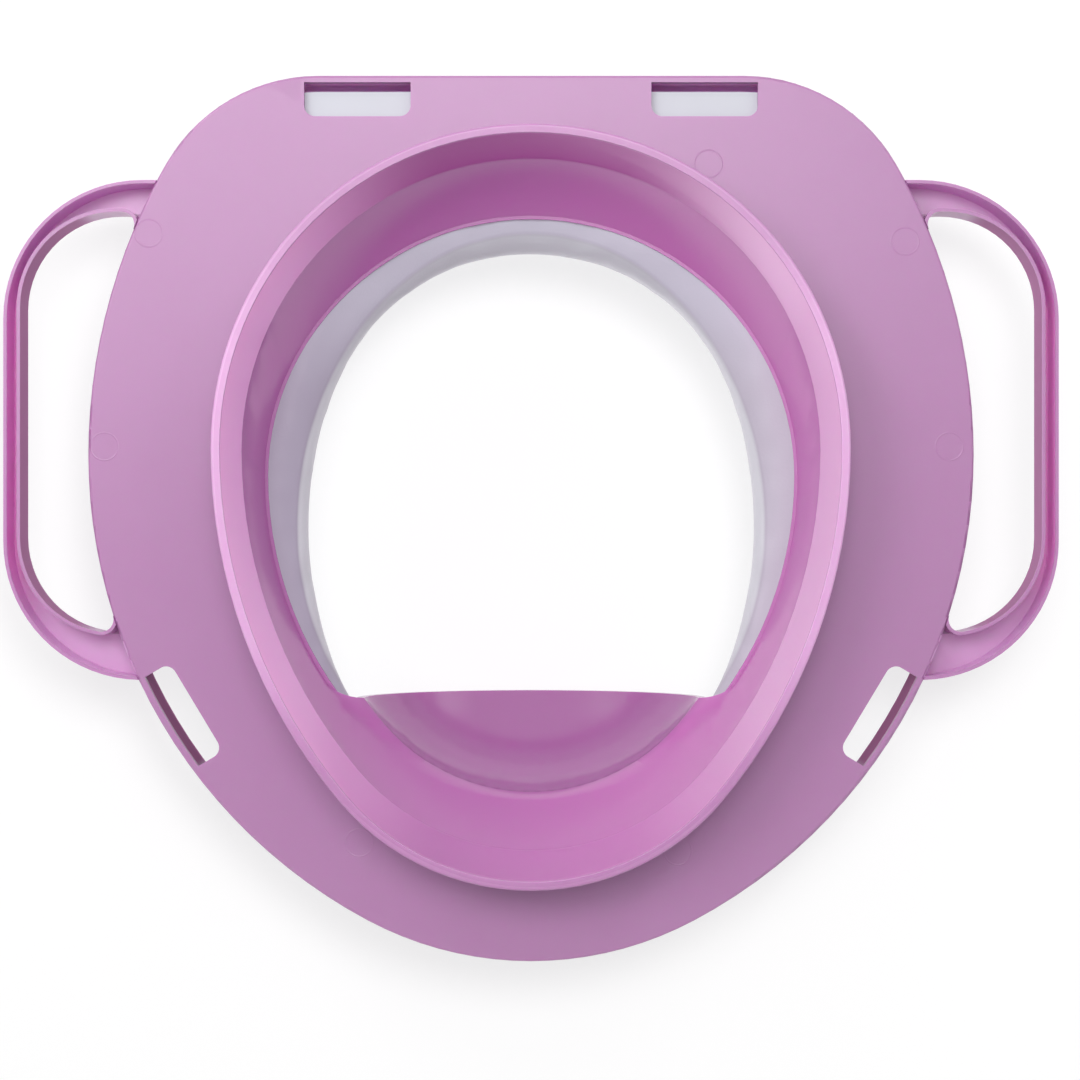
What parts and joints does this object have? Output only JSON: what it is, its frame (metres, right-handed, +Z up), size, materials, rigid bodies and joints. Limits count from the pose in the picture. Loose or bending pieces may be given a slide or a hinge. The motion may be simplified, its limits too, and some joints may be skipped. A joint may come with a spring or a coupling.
{
  "type": "potty training seat",
  "caption": "Padded toilet training seat with a drop-in locating ring, a raised splash guard at the front and a loop handle on each side.",
  "frame": {"origin": "centre of the overall width and length, on the plane that the locating ring's lip stands on", "axes": "+Z up as in use, cushion on top; -Y is the front, where the splash guard is; +X is the longest way, from handle to handle"},
  "size_m": [0.381, 0.32, 0.0905],
  "materials": {
    "base_plastic": "satin",
    "board_plastic": "matte",
    "foam": "matte",
    "cover_vinyl": "satin"
  },
  "bodies": {
    "root": {"seat_base": "base_plastic", "cushion_board": "board_plastic", "cushion_foam": "foam", "cushion_cover": "cover_vinyl"}
  },
  "joints": []
}
